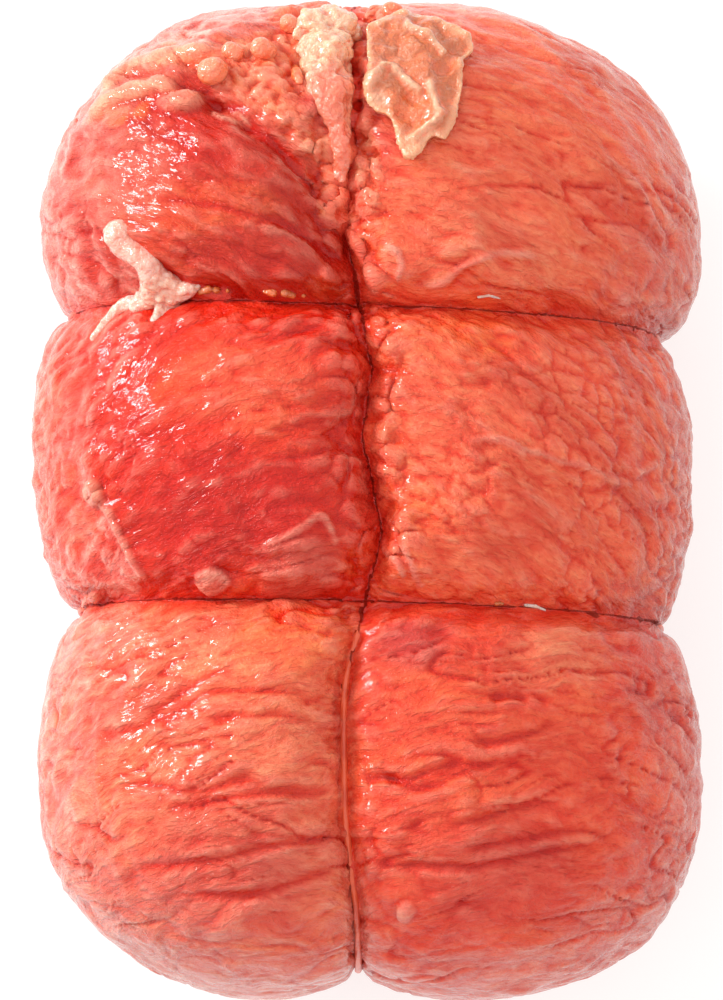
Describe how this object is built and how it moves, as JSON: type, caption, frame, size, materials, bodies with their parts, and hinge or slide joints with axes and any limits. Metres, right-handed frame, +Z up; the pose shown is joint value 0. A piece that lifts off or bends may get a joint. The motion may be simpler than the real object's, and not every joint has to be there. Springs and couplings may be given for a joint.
{
  "type": "veal paupiette",
  "caption": "Raw rolled veal tied once along and twice across, bulging into round lobes between the ties, with scraps of fat on top; lies flat on its underside.",
  "frame": {"origin": "under the middle of the roll, on the plane that its flat underside rests on", "axes": "+Y along the roll towards the end with the fat, +Z up, +X across the roll to the right in the picture"},
  "size_m": [0.0604, 0.0899, 0.0448],
  "materials": {
    "veal": "wet raw veal under a thin clear membrane, pale at the rims and deep red in the valleys",
    "tie": "thin tie soaked with meat juice, smooth and orange brown",
    "fat": "moist cream to pinkish white fat, slightly clear at thin edges"
  },
  "bodies": {
    "root": {"meat": "veal", "tie": "tie", "fat_lump": "fat", "fat_flake": "fat", "fat_strand": "fat"}
  },
  "joints": []
}
